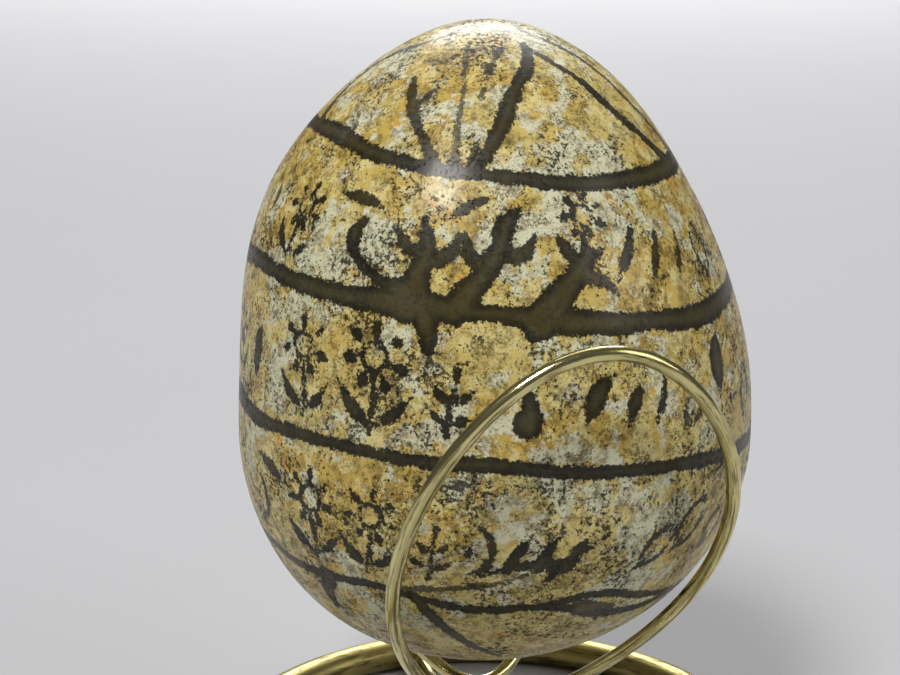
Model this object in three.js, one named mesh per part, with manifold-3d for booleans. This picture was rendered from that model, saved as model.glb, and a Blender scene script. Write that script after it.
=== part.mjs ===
// A decorated egg on a wire stand, in millimetres, +Z up.
//
// The origin is on the table, on the axis of the base ring, and the front of the object is -Y.
// A blown eggshell sits loose, pointed end up, between two teardrop loops of round wire that lean
// outwards.  The low ends of the loops cross an arched bridge of the same wire, whose ends meet the
// inside of a thicker base ring.  A weld bead holds each place where the stand's pieces meet.

import * as THREE from "three";
import { mergeVertices } from "three/addons/utils/BufferGeometryUtils.js";
import Module from "manifold-3d";

// ---- Driving dimensions ----------------------------------------------------------------------

// Eggshell
const BELLY_RADIUS = 24.2; // widest part
const BELLY_HEIGHT = 37.8; // widest part above the table
const BELLY_TO_TIP = 38; // up to the pointed end
const BELLY_TO_BASE = 21.7; // down to the blunt end
const TIP_FULLNESS = 0.07; // how far the shoulders stand outside an ellipse
const TIP_TAPER = 0.16; // how far the pointed end falls inside an ellipse
const BASE_FULLNESS = 0.087; // how far the blunt end stands outside an ellipse
const BELLY_DRIFT = 0.2; // the egg is lopsided: its belly sits towards +X,
const SHOULDER_DRIFT = 1.5; // its shoulders are set back from there towards -X,
const TIP_RETURN = 0.7; // the pointed end comes back part of the way,
const BASE_DRIFT = 1.62; // and the blunt end is set back towards -X too
const SHELL_WALL = 0.5;
const BLOW_HOLE_RADIUS = 1.5; // in the blunt end, where the shell was emptied

// Wire stand
const WIRE_RADIUS = 0.65; // of the loops and the bridge
const RING_WIRE_RADIUS = 1.75;
const RING_RADIUS = 27.5; // centreline
const CONTACT_GAP = 0.3; // between pieces that touch
const LOOP_COUNT = 2;
const STAND_TURN = THREE.MathUtils.degToRad(18.2); // of the loops and bridge, towards +X

// One teardrop loop, measured in its own leaning plane
const LOOP_HALF_WIDTH = 13.5;
const LOOP_HALF_LENGTH = 24.85;
const LOOP_TOP_HEAVY = 0.146; // how much wider the loop is above its middle than below
const LOOP_SQUARENESS = 0.087; // how much fuller than an ellipse its sides are
const LOOP_SKEW = 0.72; // how far its middle is bent to one side
const LOOP_LEAN = THREE.MathUtils.degToRad(30.7); // outwards from upright
const LOOP_BOW = 5.3; // how far both its ends bend in towards the axis
const LOOP_MIDDLE_RADIUS = 20.8; // from the axis
const LOOP_MIDDLE_HEIGHT = 30.8; // above the table

// Bridge and welds
const BRIDGE_FLAT_END = 19.5; // radius inside which the bridge leaves the level of the ring
const BRIDGE_CROWN = 5; // half the length of the level stretch under the loops
const HUB_WELD_RADIUS = 1.6;
const RING_WELD_RADIUS = 1.5;

// Facets
const EGG_SIDES = 48;
const EGG_STEPS = 24;
const LINING_STEPS = 14;
const HOLE_SIDES = 16;
const LOOP_STEPS = 72;
const WIRE_SIDES = 8;
const RING_SIDES = 12;
const RING_STEPS = 64;
const BRIDGE_STEPS = 32;
const WELD_SIDES = 10;
const CURVE_SAMPLES = 400; // for measuring along the loops
const MERGE_TOLERANCE = 1e-4;

// ---- Finishes --------------------------------------------------------------------------------

const shellFinish = { color: 0xc9b07a, roughness: 0.5, metalness: 0 };
const brassFinish = { color: 0xb8a04a, roughness: 0.25, metalness: 1 };
const weldFinish = { color: 0x8c7636, roughness: 0.45, metalness: 1 };

// ---- Solids ----------------------------------------------------------------------------------

const wasm = await Module();
wasm.setup();

/** A closed geometry as a solid that can be joined and cut. */
function solidOf(geometry) {
  const bare = geometry.clone();
  bare.deleteAttribute("normal");
  bare.deleteAttribute("uv");
  const merged = mergeVertices(bare, MERGE_TOLERANCE);
  return new wasm.Manifold(
    new wasm.Mesh({
      numProp: 3,
      vertProperties: merged.attributes.position.array,
      triVerts: new Uint32Array(merged.index.array),
    }),
  );
}

/** A cut solid as a geometry again. */
function geometryOf(solid) {
  const mesh = solid.getMesh();
  const geometry = new THREE.BufferGeometry();
  geometry.setAttribute("position", new THREE.BufferAttribute(mesh.vertProperties, 3));
  geometry.setIndex(new THREE.BufferAttribute(mesh.triVerts, 1));
  geometry.computeVertexNormals();
  return geometry;
}

/** A lathe's geometry turned so that its axis is +Z. */
function lathe(profile, sides) {
  return new THREE.LatheGeometry(profile, sides).rotateX(Math.PI / 2);
}

// ---- Eggshell --------------------------------------------------------------------------------

/** The egg's radius at a level from -1, the blunt end, to 1, the pointed end. */
function eggRadius(level, inset) {
  const ellipse = (BELLY_RADIUS - inset) * Math.sqrt(Math.max(0, 1 - level ** 2));
  return level > 0
    ? ellipse * (1 + TIP_FULLNESS * level ** 2 - TIP_TAPER * level ** 4)
    : ellipse * (1 + BASE_FULLNESS * level ** 4);
}

/** How far the egg's middle line is from its axis at a level: the shell is not quite round. */
function eggDrift(level) {
  if (level < 0) return BELLY_DRIFT - BASE_DRIFT * level ** 2;
  const setBack = SHOULDER_DRIFT * THREE.MathUtils.smoothstep(level, 0.1, 0.65);
  return BELLY_DRIFT - setBack + TIP_RETURN * THREE.MathUtils.smoothstep(level, 0.65, 1);
}

/** The egg's closed outer form, or its lining when there is an inset. */
function eggForm(inset, steps) {
  const profile = [];
  for (let step = 0; step <= steps; step++) {
    const level = -Math.cos((Math.PI * step) / steps);
    const reach = (level > 0 ? BELLY_TO_TIP : BELLY_TO_BASE) - inset;
    profile.push(new THREE.Vector2(eggRadius(level, inset), level * reach));
  }
  const form = lathe(profile, EGG_SIDES);
  const position = form.getAttribute("position");
  for (let i = 0; i < position.count; i++) {
    const height = position.getZ(i);
    const level = height / (height > 0 ? BELLY_TO_TIP : BELLY_TO_BASE);
    position.setX(i, position.getX(i) + eggDrift(level));
  }
  return form;
}

function makeEggshell() {
  const depth = 4 * SHELL_WALL;
  const hole = new THREE.CylinderGeometry(BLOW_HOLE_RADIUS, BLOW_HOLE_RADIUS, depth, HOLE_SIDES)
    .rotateX(Math.PI / 2)
    .translate(eggDrift(-1), 0, -BELLY_TO_BASE);
  const shell = solidOf(eggForm(0, EGG_STEPS))
    .subtract(solidOf(eggForm(SHELL_WALL, LINING_STEPS)))
    .subtract(solidOf(hole));
  return geometryOf(shell).translate(0, 0, BELLY_HEIGHT);
}

// ---- Wire stand ------------------------------------------------------------------------------

/** The closed base ring on the table, with a flat underside. */
function ringGeometry(clearance) {
  const radius = RING_WIRE_RADIUS + clearance;
  const cornerRadius = radius / Math.cos(Math.PI / RING_SIDES);
  const profile = [];
  for (let corner = 0; corner <= RING_SIDES; corner++) {
    const angle = (2 * Math.PI * (corner + 0.5)) / RING_SIDES;
    const reach = RING_RADIUS + cornerRadius * Math.cos(angle);
    const height = RING_WIRE_RADIUS + cornerRadius * Math.sin(angle);
    profile.push(new THREE.Vector2(reach, height));
  }
  return lathe(profile, RING_STEPS);
}

/** The centreline of a teardrop loop that leans outwards over -Y, turned about the axis. */
class TeardropCurve extends THREE.Curve {
  constructor(turn) {
    super();
    this.turn = turn;
    this.arcLengthDivisions = CURVE_SAMPLES;
  }

  getPoint(fraction, target = new THREE.Vector3()) {
    const angle = 2 * Math.PI * fraction;
    const rise = Math.sin(angle);
    const along = LOOP_HALF_LENGTH * rise;
    const fullness = 1 + LOOP_TOP_HEAVY * rise + LOOP_SQUARENESS * Math.cos(2 * angle);
    const across = Math.cos(angle) * (LOOP_HALF_WIDTH * fullness - LOOP_SKEW * Math.cos(angle));
    const outwards = LOOP_MIDDLE_RADIUS + Math.sin(LOOP_LEAN) * along - LOOP_BOW * rise ** 2;
    const height = LOOP_MIDDLE_HEIGHT + Math.cos(LOOP_LEAN) * along;
    return target
      .set(across, -outwards, height)
      .applyAxisAngle(new THREE.Vector3(0, 0, 1), this.turn);
  }
}

function loopGeometry(turn, clearance) {
  const radius = WIRE_RADIUS + clearance;
  return new THREE.TubeGeometry(new TeardropCurve(turn), LOOP_STEPS, radius, WIRE_SIDES, true);
}

// The lowest point of a loop, which the bridge passes under.
const FOOT_RADIUS = LOOP_MIDDLE_RADIUS - Math.sin(LOOP_LEAN) * LOOP_HALF_LENGTH - LOOP_BOW;
const FOOT_HEIGHT = LOOP_MIDDLE_HEIGHT - Math.cos(LOOP_LEAN) * LOOP_HALF_LENGTH;
const CROWN_HEIGHT = FOOT_HEIGHT - 2 * WIRE_RADIUS - CONTACT_GAP;
const BRIDGE_REACH = RING_RADIUS - RING_WIRE_RADIUS - CONTACT_GAP;

/** The arched bridge, from the inside of the ring to its crown under the feet of the loops. */
function bridgeGeometry(clearance) {
  const radius = WIRE_RADIUS + clearance;
  const rise = CROWN_HEIGHT - RING_WIRE_RADIUS;
  const span = BRIDGE_FLAT_END - BRIDGE_CROWN;
  const climb = [
    [BRIDGE_REACH, 0],
    [BRIDGE_FLAT_END, 0],
    [BRIDGE_FLAT_END - 0.35 * span, 0.25 * rise],
    [BRIDGE_CROWN + 0.25 * span, 0.8 * rise],
    [BRIDGE_CROWN, rise],
  ];
  const descent = climb.map(([reach, height]) => [-reach, height]).reverse();
  const points = [...climb, ...descent].map(
    ([reach, height]) => new THREE.Vector3(0, -reach, RING_WIRE_RADIUS + height),
  );
  const corners = Array.from({ length: WIRE_SIDES }, (_, side) => {
    const angle = (2 * Math.PI * side) / WIRE_SIDES;
    return new THREE.Vector2(radius * Math.cos(angle), radius * Math.sin(angle));
  });
  return new THREE.ExtrudeGeometry(new THREE.Shape(corners), {
    extrudePath: new THREE.CatmullRomCurve3(points),
    steps: BRIDGE_STEPS,
  }).rotateZ(STAND_TURN);
}

/** A weld bead where the bridge meets another piece, clear of both of them. */
function weldGeometry(radius, reach, height, turn, neighbour) {
  const bead = new THREE.SphereGeometry(radius, WELD_SIDES, WELD_SIDES)
    .translate(0, -reach, height)
    .rotateZ(turn);
  const cleared = solidOf(bead)
    .subtract(solidOf(bridgeGeometry(CONTACT_GAP)))
    .subtract(solidOf(neighbour));
  return geometryOf(cleared);
}

// ---- Assembly --------------------------------------------------------------------------------

function piece(name, geometry, finish) {
  const mesh = new THREE.Mesh(geometry, new THREE.MeshStandardMaterial(finish));
  mesh.name = name;
  return mesh;
}

function makeStand() {
  const stand = new THREE.Group();
  stand.add(piece("base_ring", ringGeometry(0), brassFinish));
  stand.add(piece("base_bridge", bridgeGeometry(0), brassFinish));

  const widerRing = ringGeometry(CONTACT_GAP);
  const hubHeight = (FOOT_HEIGHT + CROWN_HEIGHT) / 2;
  ["front", "back"].forEach((side, index) => {
    const turn = STAND_TURN + (2 * Math.PI * index) / LOOP_COUNT;
    const widerLoop = loopGeometry(turn, CONTACT_GAP);
    const hub = weldGeometry(HUB_WELD_RADIUS, FOOT_RADIUS, hubHeight, turn, widerLoop);
    const edge = weldGeometry(RING_WELD_RADIUS, BRIDGE_REACH, RING_WIRE_RADIUS, turn, widerRing);
    stand.add(piece(`${side}_loop`, loopGeometry(turn, 0), brassFinish));
    stand.add(piece(`${side}_hub_weld`, hub, weldFinish));
    stand.add(piece(`${side}_ring_weld`, edge, weldFinish));
  });
  return stand;
}

const object = new THREE.Group();
object.add(makeStand());
object.add(piece("eggshell", makeEggshell(), shellFinish));

export default object;
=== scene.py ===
"""Looks of a painted, blown egg in its brass wire stand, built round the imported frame.

Sizes are in millimetres until a mesh is written, and azimuths on the egg are in degrees from its
front, -Y, towards +X.
"""

import logging
import math
from collections.abc import Callable, Iterator
from contextlib import contextmanager
from dataclasses import dataclass, field
from enum import Enum

import bpy
import numpy as np
from mathutils import Matrix, Vector

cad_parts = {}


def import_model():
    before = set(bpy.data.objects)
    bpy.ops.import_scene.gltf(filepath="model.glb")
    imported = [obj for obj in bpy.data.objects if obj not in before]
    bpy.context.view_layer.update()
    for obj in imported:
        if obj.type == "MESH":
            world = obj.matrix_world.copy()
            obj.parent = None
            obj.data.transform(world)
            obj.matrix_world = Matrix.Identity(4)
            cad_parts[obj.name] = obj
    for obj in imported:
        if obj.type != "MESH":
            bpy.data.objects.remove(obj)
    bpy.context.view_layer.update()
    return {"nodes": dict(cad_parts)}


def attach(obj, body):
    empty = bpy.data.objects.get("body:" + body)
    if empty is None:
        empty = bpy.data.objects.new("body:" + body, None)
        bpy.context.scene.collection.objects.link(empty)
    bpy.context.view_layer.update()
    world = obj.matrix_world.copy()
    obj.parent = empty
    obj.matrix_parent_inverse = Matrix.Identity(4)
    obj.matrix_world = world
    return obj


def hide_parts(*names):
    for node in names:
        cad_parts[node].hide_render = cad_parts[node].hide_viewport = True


frame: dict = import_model()

LOG = logging.getLogger("egg_stand")
MM = 0.001
WORN_THIN = 0.985  # what polishing leaves of a drawn wire's thickness
STREAK_FINENESS = 0.07  # of the streaks along a wire, painted dark reflection and die marks, against round it

Colour = tuple[float, float, float]
Socket = bpy.types.NodeSocket


# ---- Bench tools -----------------------------------------------------------------------------


def take_up(piece: bpy.types.Object) -> None:
    """Makes a piece the only selected one and the active one.

    Args:
        piece: The object to work on next.
    """
    bpy.ops.object.select_all(action="DESELECT")
    piece.select_set(True)
    bpy.context.view_layer.objects.active = piece


@contextmanager
def edit_mode(piece: bpy.types.Object) -> Iterator[None]:
    """Opens a piece in edit mode, and closes it again.

    Args:
        piece: The mesh or curve to edit.
    """
    take_up(piece)
    bpy.ops.object.mode_set(mode="EDIT")
    yield
    bpy.ops.object.mode_set(mode="OBJECT")


def settle(piece: bpy.types.Object) -> None:
    """Puts a piece's place, turn and scale into its mesh, so that its object is at the origin."""
    take_up(piece)
    bpy.ops.object.transform_apply(location=True, rotation=True, scale=True)


def apply_modifiers(piece: bpy.types.Object) -> None:
    """Applies all of a piece's modifiers, from first to last."""
    take_up(piece)
    for modifier in list(piece.modifiers):
        bpy.ops.object.modifier_apply(modifier=modifier.name)


def smooth(piece: bpy.types.Object, crease: float = 40.0) -> None:
    """Shades a piece smooth, apart from its real corners.

    Args:
        piece: The mesh to shade.
        crease: The angle in degrees past which a corner stays sharp.
    """
    take_up(piece)
    bpy.ops.object.shade_smooth_by_angle(angle=math.radians(crease))


def read_points(mesh: bpy.types.Mesh) -> np.ndarray:
    """Returns a mesh's vertices as rows of three numbers, in its own units."""
    points = np.empty(len(mesh.vertices) * 3)
    mesh.vertices.foreach_get("co", points)
    return points.reshape(-1, 3)


def write_points(mesh: bpy.types.Mesh, points: np.ndarray) -> None:
    """Writes rows of three numbers back to a mesh's vertices."""
    mesh.vertices.foreach_set("co", points.astype(np.float32).ravel())
    mesh.update()


def write_attribute(mesh: bpy.types.Mesh, name: str, values: np.ndarray) -> None:
    """Writes one number for each vertex of a mesh.

    Args:
        mesh: The mesh to write to.
        name: The attribute's name, which the material reads.
        values: One number for each vertex.
    """
    attribute = mesh.attributes.new(name=name, type="FLOAT", domain="POINT")
    attribute.data.foreach_set("value", values.astype(np.float32))


def guide_streaks(mesh: bpy.types.Mesh, around: np.ndarray, along: np.ndarray) -> None:
    """Writes each vertex's place on its wire, for the streaks that run along the wire: a painted dark
    reflection, and die marks.

    Args:
        mesh: The wire's mesh.
        around: Each vertex's angle round the wire, in radians.
        along: Its distance along the wire, in millimetres.
    """
    write_attribute(mesh, "wire_across", np.cos(around))
    write_attribute(mesh, "wire_up", np.sin(around))
    write_attribute(mesh, "wire_along", along)


def flow(knots: np.ndarray, steps: int) -> np.ndarray:
    """Runs a smooth, open Catmull-Rom line through knots of any number of columns.

    Args:
        knots: One knot a row.
        steps: The number of points along each span.

    Returns:
        The points of the line, one a row.
    """
    padded = np.vstack([2 * knots[0] - knots[1], knots, 2 * knots[-1] - knots[-2]])
    share = np.linspace(0, 1, steps, endpoint=False)[:, None]
    spans = []
    for before, start, end, after in zip(padded, padded[1:], padded[2:], padded[3:]):
        bend = 2 * before - 5 * start + 4 * end - after
        twist = 3 * (start - end) + after - before
        spans.append(start + 0.5 * share * (end - before + share * (bend + share * twist)))
    return np.vstack([*spans, knots[-1]])


# ---- Shader tools ----------------------------------------------------------------------------


def srgb(red: int, green: int, blue: int) -> Colour:
    """Turns a colour as it is seen on a screen, 0 to 255, into the linear one that shaders take."""
    return tuple(
        part / 12.92 if part <= 0.04045 else ((part + 0.055) / 1.055) ** 2.4
        for part in (red / 255, green / 255, blue / 255)
    )


@dataclass
class NodeSheet:
    """A node tree with short calls for adding and wiring its nodes."""

    tree: bpy.types.NodeTree

    def add(self, kind: str, **settings: object) -> bpy.types.Node:
        """Adds a node.

        Args:
            kind: The node's type name.
            **settings: The node's own settings, such as its operation.

        Returns:
            The new node.
        """
        node = self.tree.nodes.new(kind)
        for name, value in settings.items():
            setattr(node, name, value)
        return node

    def feed(self, target: Socket, value: object) -> None:
        """Wires another node's socket to a target socket, or sets a plain number or colour on it."""
        if isinstance(value, bpy.types.NodeSocket):
            self.tree.links.new(value, target)
        elif isinstance(value, tuple) and target.type == "RGBA":
            target.default_value = (*value, 1.0)
        else:
            target.default_value = value

    def maths(self, operation: str, first: object, second: object = 0.0) -> Socket:
        """Returns the result of one Math node, which takes sockets or numbers."""
        node = self.add("ShaderNodeMath", operation=operation)
        self.feed(node.inputs[0], first)
        self.feed(node.inputs[1], second)
        return node.outputs[0]

    def noise(self, place: Socket, scale: object, detail: float, roughness: float) -> Socket:
        """Returns a fractal noise from 0 to 1.

        Args:
            place: Where on the piece, in metres.
            scale: Features to the metre.
            detail: How many finer layers are added.
            roughness: How much the finer layers count.
        """
        node = self.add("ShaderNodeTexNoise")
        self.feed(node.inputs["Vector"], place)
        self.feed(node.inputs["Scale"], scale)
        node.inputs["Detail"].default_value = detail
        node.inputs["Roughness"].default_value = roughness
        return node.outputs["Fac"]

    def shifted(self, place: Socket, offset: tuple[float, float, float]) -> Socket:
        """Returns a place moved by an offset, so that two noises don't fall together."""
        node = self.add("ShaderNodeMapping")
        self.feed(node.inputs["Vector"], place)
        node.inputs["Location"].default_value = offset
        return node.outputs[0]

    def step(self, value: Socket, start: object, end: object) -> Socket:
        """Returns 0 up to start and 1 past end, with a soft rise between them."""
        node = self.add("ShaderNodeMapRange", interpolation_type="SMOOTHSTEP")
        self.feed(node.inputs["Value"], value)
        self.feed(node.inputs["From Min"], start)
        self.feed(node.inputs["From Max"], end)
        return node.outputs[0]

    def span(self, value: Socket, low: object, high: object) -> Socket:
        """Returns a number that runs from low to high as a mask runs from 0 to 1."""
        node = self.add("ShaderNodeMapRange")
        self.feed(node.inputs["Value"], value)
        self.feed(node.inputs["To Min"], low)
        self.feed(node.inputs["To Max"], high)
        return node.outputs[0]

    def layer(self, under: object, over: object, mask: object) -> Socket:
        """Returns a colour with another one laid over it where a mask is 1."""
        node = self.add("ShaderNodeMix", data_type="RGBA")
        self.feed(node.inputs[0], mask)
        self.feed(node.inputs[6], under)
        self.feed(node.inputs[7], over)
        return node.outputs[2]

    def group(self, tree: bpy.types.NodeTree, **values: object) -> bpy.types.Node:
        """Places a node group and feeds its inputs, whose spaces are written as underscores."""
        node = self.add("ShaderNodeGroup", node_tree=tree)
        for name, value in values.items():
            self.feed(node.inputs[name.replace("_", " ")], value)
        return node


def open_group(name: str, inputs: dict[str, str], outputs: dict[str, str]) -> tuple:
    """Starts a shader node group.

    Args:
        name: The group's name.
        inputs: Each input's name and kind, Float, Vector or Color.
        outputs: Each output's name and kind.

    Returns:
        The sheet of the new group, its input sockets by name and its output sockets by name.
    """
    tree = bpy.data.node_groups.new(name, "ShaderNodeTree")
    for label, kind in inputs.items():
        tree.interface.new_socket(label, in_out="INPUT", socket_type=f"NodeSocket{kind}")
    for label, kind in outputs.items():
        tree.interface.new_socket(label, in_out="OUTPUT", socket_type=f"NodeSocket{kind}")
    sheet = NodeSheet(tree)
    start = sheet.add("NodeGroupInput")
    end = sheet.add("NodeGroupOutput")
    return sheet, start.outputs, end.inputs


def ragged_edge_group() -> bpy.types.NodeTree:
    """Builds the group that turns a distance from a drawn edge into a mask with a ragged edge.

    Returns:
        A group whose Mask is 1 where Distance, in millimetres, is below zero.
    """
    kinds = {"Place": "Vector", "Distance": "Float", "Coarse": "Float", "Fine": "Float"}
    sheet, given, result = open_group("ragged_edge", kinds, {"Mask": "Float"})
    wander = sheet.noise(given["Place"], 700.0, 2.0, 0.5)
    teeth = sheet.noise(given["Place"], 3200.0, 3.0, 0.7)
    wander = sheet.maths("MULTIPLY", sheet.maths("SUBTRACT", wander, 0.5), given["Coarse"])
    teeth = sheet.maths("MULTIPLY", sheet.maths("SUBTRACT", teeth, 0.5), given["Fine"])
    distance = sheet.maths("ADD", given["Distance"], sheet.maths("ADD", wander, teeth))
    sheet.feed(result["Mask"], sheet.step(distance, 0.05, -0.05))
    return sheet.tree


def flake_group() -> bpy.types.NodeTree:
    """Builds the group of crisp-edged islands that a worn coat leaves.

    Returns:
        A group whose Mask is 1 on the islands. Cover, about 0.4 to 0.6, is their share.
    """
    kinds = {"Place": "Vector", "Scale": "Float", "Cover": "Float"}
    sheet, given, result = open_group("flake", kinds, {"Mask": "Float"})
    grain = sheet.noise(given["Place"], given["Scale"], 9.0, 0.66)
    limit = sheet.maths("SUBTRACT", 1.0, given["Cover"])
    upper = sheet.maths("ADD", limit, 0.045)
    sheet.feed(result["Mask"], sheet.step(grain, limit, upper))
    return sheet.tree


def speck_group() -> bpy.types.NodeTree:
    """Builds the group of fine dark specks that gather in loose clusters.

    Returns:
        A group whose Mask is 1 in the specks. Amount, about 0.3 to 0.5, is their share.
    """
    kinds = {"Place": "Vector", "Scale": "Float", "Amount": "Float", "Clusters": "Float"}
    sheet, given, result = open_group("speck", kinds, {"Mask": "Float"})
    fine = sheet.noise(given["Place"], given["Scale"], 4.0, 0.75)
    cloud = sheet.noise(given["Place"], given["Clusters"], 3.0, 0.6)
    sway = sheet.maths("MULTIPLY", sheet.maths("SUBTRACT", cloud, 0.5), 0.55)
    density = sheet.maths("ADD", given["Amount"], sway)
    limit = sheet.maths("SUBTRACT", 1.0, density)
    upper = sheet.maths("ADD", limit, 0.05)
    sheet.feed(result["Mask"], sheet.step(fine, limit, upper))
    return sheet.tree


def tarnish_group() -> bpy.types.NodeTree:
    """Builds the group of soft tarnish and handling marks on polished metal.

    Returns:
        A group with Cloud, a soft mask of dulled metal, and Grain, fine drawing marks.
    """
    kinds = {"Place": "Vector", "Reach": "Float"}
    sheet, given, result = open_group("tarnish", kinds, {"Cloud": "Float", "Grain": "Float"})
    cloud = sheet.noise(given["Place"], 160.0, 4.0, 0.6)
    sheet.feed(result["Cloud"], sheet.step(cloud, sheet.maths("SUBTRACT", 0.75, given["Reach"]), 0.8))
    sheet.feed(result["Grain"], sheet.noise(given["Place"], 5200.0, 2.0, 0.6))
    return sheet.tree


@dataclass
class SharedEffects:
    """The node groups that more than one material uses."""

    ragged_edge: bpy.types.NodeTree = field(default_factory=ragged_edge_group)
    flake: bpy.types.NodeTree = field(default_factory=flake_group)
    speck: bpy.types.NodeTree = field(default_factory=speck_group)
    tarnish: bpy.types.NodeTree = field(default_factory=tarnish_group)


def new_material(name: str) -> tuple[bpy.types.Material, NodeSheet, bpy.types.Node, Socket]:
    """Starts a node material.

    Args:
        name: The material's name.

    Returns:
        The material, its sheet, its Principled BSDF and the socket of Object coordinates.
    """
    material = bpy.data.materials.new(name)
    material.use_nodes = True
    sheet = NodeSheet(material.node_tree)
    shader = material.node_tree.nodes["Principled BSDF"]
    place = sheet.add("ShaderNodeTexCoord").outputs["Object"]
    return material, sheet, shader, place


def add_bump(sheet: NodeSheet, shader: bpy.types.Node, height: Socket, depth: float) -> None:
    """Gives a shader a relief.

    Args:
        sheet: The material's sheet.
        shader: The shader to give it to.
        height: The relief from 0 to 1.
        depth: How deep it is, in millimetres.
    """
    bump = sheet.add("ShaderNodeBump")
    bump.inputs["Strength"].default_value = 1.0
    bump.inputs["Distance"].default_value = depth * MM
    sheet.feed(bump.inputs["Height"], height)
    sheet.feed(shader.inputs["Normal"], bump.outputs["Normal"])


# ---- Finishes --------------------------------------------------------------------------------


@dataclass(frozen=True)
class PaintedShell:
    """Worn coats of paint on eggshell, inked over and varnished."""

    tan: Colour = srgb(200, 180, 108)
    ochre: Colour = srgb(192, 163, 80)
    amber: Colour = srgb(204, 152, 56)
    cream: Colour = srgb(212, 197, 134)
    chalk: Colour = srgb(206, 203, 170)
    olive: Colour = srgb(92, 74, 32)
    umber: Colour = srgb(20, 14, 4)
    ink: Colour = srgb(13, 11, 4)
    ink_thin: Colour = srgb(66, 59, 32)
    relief: float = 0.035

    def build(self, effects: SharedEffects) -> bpy.types.Material:
        """Builds the material.

        Args:
            effects: The shared node groups.

        Returns:
            The finished material.
        """
        material, sheet, shader, place = new_material("painted_shell")
        coats, chalky = self._coats(sheet, place, effects)
        pores = sheet.group(effects.speck, Place=place, Scale=2600.0, Amount=0.435, Clusters=240.0)
        fine_place = sheet.shifted(place, (0.3, 0, 0))
        grains = sheet.group(effects.speck, Place=fine_place, Scale=4800.0, Amount=0.44, Clusters=420.0)
        grime = sheet.noise(sheet.shifted(place, (0.7, 0.2, 0)), 900.0, 8.0, 0.78)
        soiled = sheet.maths("MULTIPLY", sheet.step(grime, 0.46, 0.62), 0.7)
        worn = sheet.layer(coats, self.olive, soiled)
        worn = sheet.layer(worn, self.olive, sheet.maths("MULTIPLY", grains.outputs[0], 0.8))
        worn = sheet.layer(worn, self.umber, sheet.maths("MULTIPLY", pores.outputs[0], 0.9))
        ink, ink_mask = self._ink(sheet, place, effects)
        sheet.feed(shader.inputs["Base Color"], sheet.layer(worn, ink, ink_mask))
        dryness = sheet.maths("MAXIMUM", sheet.maths("MULTIPLY", chalky, 0.5), pores.outputs[0])
        sheet.feed(shader.inputs["Roughness"], sheet.span(dryness, 0.36, 0.62))
        relief = sheet.maths("SUBTRACT", sheet.maths("MULTIPLY", chalky, 0.5), pores.outputs[0])
        relief = sheet.maths("ADD", relief, sheet.maths("MULTIPLY", ink_mask, 0.35))
        add_bump(sheet, shader, relief, self.relief)
        shader.inputs["Specular IOR Level"].default_value = 0.22
        shader.inputs["Coat Weight"].default_value = 0.1
        shader.inputs["Coat Roughness"].default_value = 0.13
        return material

    def _coats(self, sheet: NodeSheet, place: Socket, effects: SharedEffects) -> tuple[Socket, Socket]:
        """Lays the worn coats over each other.

        Args:
            sheet: The material's sheet.
            place: Object coordinates.
            effects: The shared node groups.

        Returns:
            The colour of the coats, and the mask of the chalky top coat.
        """
        broad = sheet.noise(place, 95.0, 3.0, 0.55)
        ground = sheet.layer(self.tan, self.ochre, sheet.step(broad, 0.42, 0.6))
        stain = sheet.noise(sheet.shifted(place, (0, 0.2, 0)), 330.0, 7.0, 0.68)
        stained = sheet.maths("MULTIPLY", sheet.step(stain, 0.54, 0.68), 0.8)
        ground = sheet.layer(ground, self.olive, stained)
        pale = sheet.group(effects.flake, Place=place, Scale=520.0, Cover=0.5)
        ground = sheet.layer(ground, self.cream, sheet.maths("MULTIPLY", pale.outputs[0], 0.85))
        warm_place = sheet.shifted(place, (0.1, 0.4, 0.2))
        warm = sheet.group(effects.flake, Place=warm_place, Scale=300.0, Cover=0.385)
        ground = sheet.layer(ground, self.amber, sheet.maths("MULTIPLY", warm.outputs[0], 0.8))
        top_place = sheet.shifted(place, (0.5, 0.1, 0.3))
        cloud = sheet.noise(top_place, 120.0, 2.0, 0.5)
        cover = sheet.maths("ADD", 0.17, sheet.maths("MULTIPLY", cloud, 0.62))
        chalk = sheet.group(effects.flake, Place=top_place, Scale=460.0, Cover=cover)
        return sheet.layer(ground, self.chalk, chalk.outputs[0]), chalk.outputs[0]

    def _ink(self, sheet: NodeSheet, place: Socket, effects: SharedEffects) -> tuple[Socket, Socket]:
        """Reads the drawn ink from the shell's attributes.

        Args:
            sheet: The material's sheet.
            place: Object coordinates.
            effects: The shared node groups.

        Returns:
            The ink's colour and its mask.
        """
        distance = sheet.add("ShaderNodeAttribute", attribute_name="ink_distance").outputs["Fac"]
        strength = sheet.add("ShaderNodeAttribute", attribute_name="ink_strength").outputs["Fac"]
        edge = sheet.group(effects.ragged_edge, Place=place, Distance=distance, Coarse=0.7, Fine=1.1)
        wear = sheet.group(effects.speck, Place=place, Scale=1900.0, Amount=0.27, Clusters=300.0)
        load = sheet.noise(place, 420.0, 4.0, 0.6)
        thin = sheet.maths("SUBTRACT", sheet.span(load, 1.35, 0.15), strength)
        drained = sheet.maths("MULTIPLY", sheet.step(distance, -0.25, -1.0), 0.75)
        bare = sheet.maths("ADD", sheet.step(thin, -0.5, 0.6), drained)
        colour = sheet.layer(self.ink, self.ink_thin, bare)
        kept = sheet.maths("SUBTRACT", 1.0, sheet.maths("MULTIPLY", wear.outputs[0], 0.6))
        mask = sheet.maths("MULTIPLY", edge.outputs["Mask"], kept)
        return colour, sheet.maths("MULTIPLY", mask, sheet.span(strength, 0.55, 0.97))


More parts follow.
